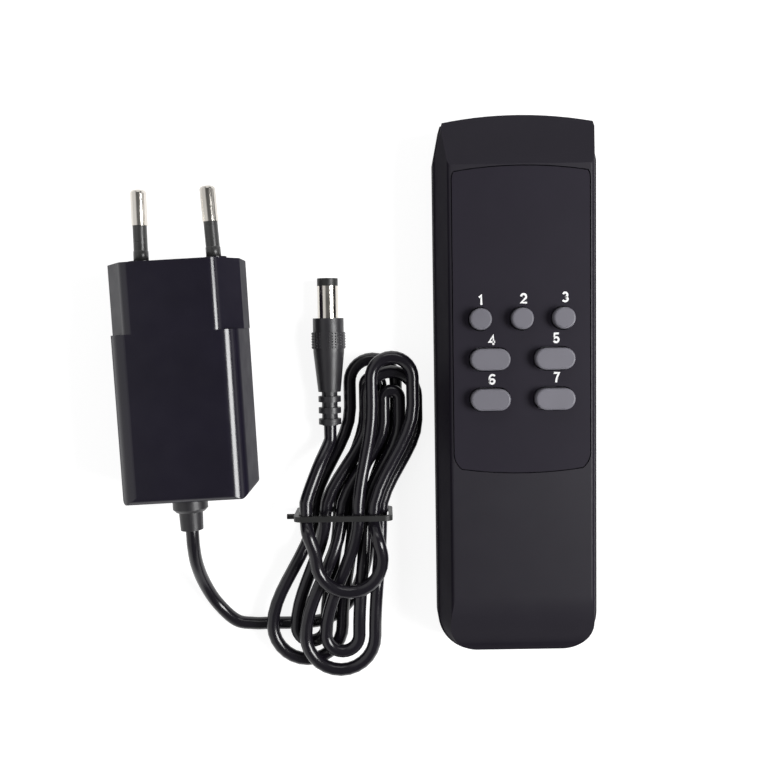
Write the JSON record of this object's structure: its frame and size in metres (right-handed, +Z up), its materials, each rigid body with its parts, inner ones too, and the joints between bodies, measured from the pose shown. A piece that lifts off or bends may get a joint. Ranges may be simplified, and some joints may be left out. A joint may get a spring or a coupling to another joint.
{
  "type": "mains adapter and remote control set",
  "caption": "Accessory set of a video switch: a two-pin plug-in adapter with a tied DC cord and barrel plug, and a slim infrared remote with round and oval keys.",
  "frame": {"origin": "bottom centre of the remote and the adapter as they lie, on the floor", "axes": "+Z up, +Y along the remote towards its lamp end, +X from the adapter to the remote"},
  "size_m": [0.124, 0.1454, 0.026],
  "materials": {
    "remote_case": "fine matt texture",
    "remote_panel": "smooth satin",
    "key_cap": "satin grey",
    "dome_mat": "matt silicone",
    "circuit_board": "solder mask",
    "carbon": "matt carbon",
    "lamp": "clear tinted epoxy",
    "chip": "moulded epoxy",
    "can_metal": "plated",
    "capacitor": "shrunk sleeve",
    "cell": "printed foil jacket",
    "spring_metal": "nickel plated",
    "screw": "zinc plated",
    "adapter_case": "polished",
    "pin_metal": "nickel plated",
    "pin_sleeve": "satin",
    "copper": "bare wire",
    "ferrite": "sintered",
    "winding": "taped",
    "cord_jacket": "smooth satin",
    "tie": "matt",
    "boot": "satin",
    "barrel_metal": "nickel plated",
    "contact_metal": "bright"
  },
  "bodies": {
    "set": {"remote_upper_case": "remote_case", "remote_lower_case": "remote_case", "face_panel": "remote_panel", "key_mat": "dome_mat", "remote_board": "circuit_board", "contact_pads": "carbon", "infrared_lamp": "lamp", "control_chip": "chip", "resonator": "can_metal", "storage_capacitor": "capacitor", "battery_cell_1": "cell", "battery_cell_2": "cell", "battery_bridge": "spring_metal", "battery_terminal_plus": "spring_metal", "battery_terminal_minus": "spring_metal", "case_screw_left": "screw", "case_screw_right": "screw", "adapter_body_case": "adapter_case", "adapter_plug_case": "adapter_case", "mains_pin_left": "pin_metal", "mains_pin_right": "pin_metal", "pin_sleeve_left": "pin_sleeve", "pin_sleeve_right": "pin_sleeve", "pin_lead_left": "copper", "pin_lead_right": "copper", "strain_relief": "boot", "adapter_board": "circuit_board", "transformer_core": "ferrite", "transformer_winding": "winding", "input_capacitor": "capacitor", "output_capacitor": "capacitor", "cord_lead": "cord_jacket", "cord_hank": "cord_jacket", "cord_tail": "cord_jacket", "cord_tie": "tie", "dc_boot": "boot", "dc_barrel": "barrel_metal", "dc_insulator": "tie", "dc_contact": "contact_metal"},
    "door": {"battery_door": "remote_case"},
    "key_body_1": {"key_1": "key_cap"},
    "key_body_2": {"key_2": "key_cap"},
    "key_body_3": {"key_3": "key_cap"},
    "key_body_4": {"key_4": "key_cap"},
    "key_body_5": {"key_5": "key_cap"},
    "key_body_6": {"key_6": "key_cap"},
    "key_body_7": {"key_7": "key_cap"}
  },
  "joints": [
    {"name": "battery_door_slide", "type": "slide", "parent": "set", "child": "door", "axis": [0, -1, 0], "range_m": [0, 0.051]},
    {"name": "key_1_press", "type": "slide", "parent": "set", "child": "key_body_1", "axis": [0, 0, -1], "range_m": [0, 0.0008], "stiffness_N_per_m": 1200},
    {"name": "key_2_press", "type": "slide", "parent": "set", "child": "key_body_2", "axis": [0, 0, -1], "range_m": [0, 0.0008], "stiffness_N_per_m": 1200},
    {"name": "key_3_press", "type": "slide", "parent": "set", "child": "key_body_3", "axis": [0, 0, -1], "range_m": [0, 0.0008], "stiffness_N_per_m": 1200},
    {"name": "key_4_press", "type": "slide", "parent": "set", "child": "key_body_4", "axis": [0, 0, -1], "range_m": [0, 0.0008], "stiffness_N_per_m": 1200},
    {"name": "key_5_press", "type": "slide", "parent": "set", "child": "key_body_5", "axis": [0, 0, -1], "range_m": [0, 0.0008], "stiffness_N_per_m": 1200},
    {"name": "key_6_press", "type": "slide", "parent": "set", "child": "key_body_6", "axis": [0, 0, -1], "range_m": [0, 0.0008], "stiffness_N_per_m": 1200},
    {"name": "key_7_press", "type": "slide", "parent": "set", "child": "key_body_7", "axis": [0, 0, -1], "range_m": [0, 0.0008], "stiffness_N_per_m": 1200}
  ]
}
